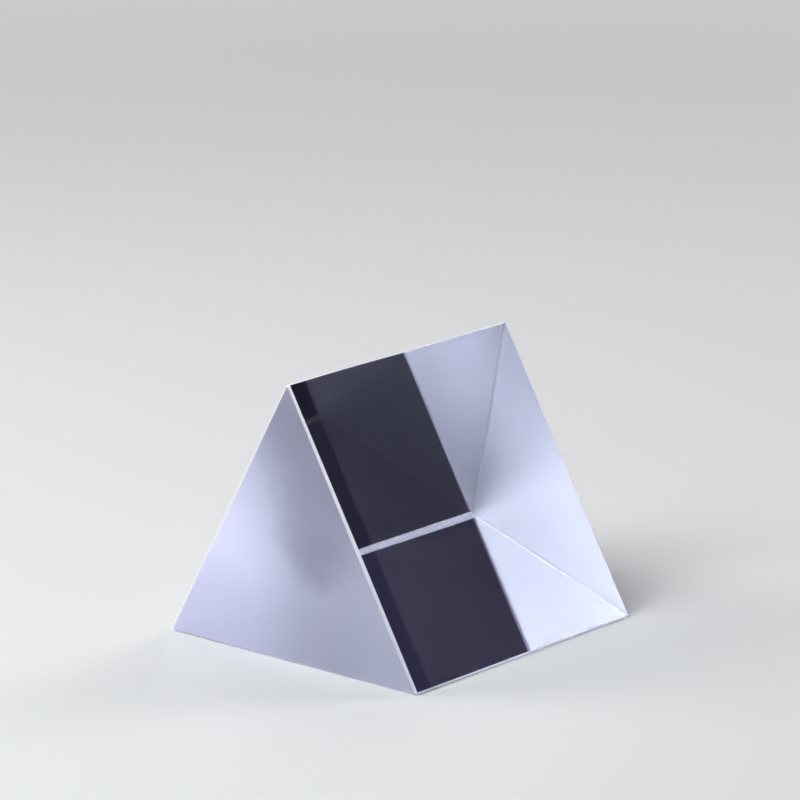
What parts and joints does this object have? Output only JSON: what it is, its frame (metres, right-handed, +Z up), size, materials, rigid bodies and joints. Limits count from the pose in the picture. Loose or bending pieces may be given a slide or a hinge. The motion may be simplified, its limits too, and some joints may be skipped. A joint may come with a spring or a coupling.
{
  "type": "equilateral prism",
  "caption": "Equilateral triangular glass prism that bends and disperses light, with polished long faces, finely ground ends and a narrow flat along every edge.",
  "frame": {"origin": "centre of the base face that the prism lies on", "axes": "+Y along the prism, square to both ground ends; +Z up, from the base face to the apex edge; +X across the section, to the right of the apex edge when looking along +Y"},
  "size_m": [0.0296, 0.03, 0.0257],
  "materials": {
    "optical_glass": "long faces polished clear, ends and edge flats finely ground to an even frost"
  },
  "bodies": {
    "root": {"prism": "optical_glass"}
  },
  "joints": []
}
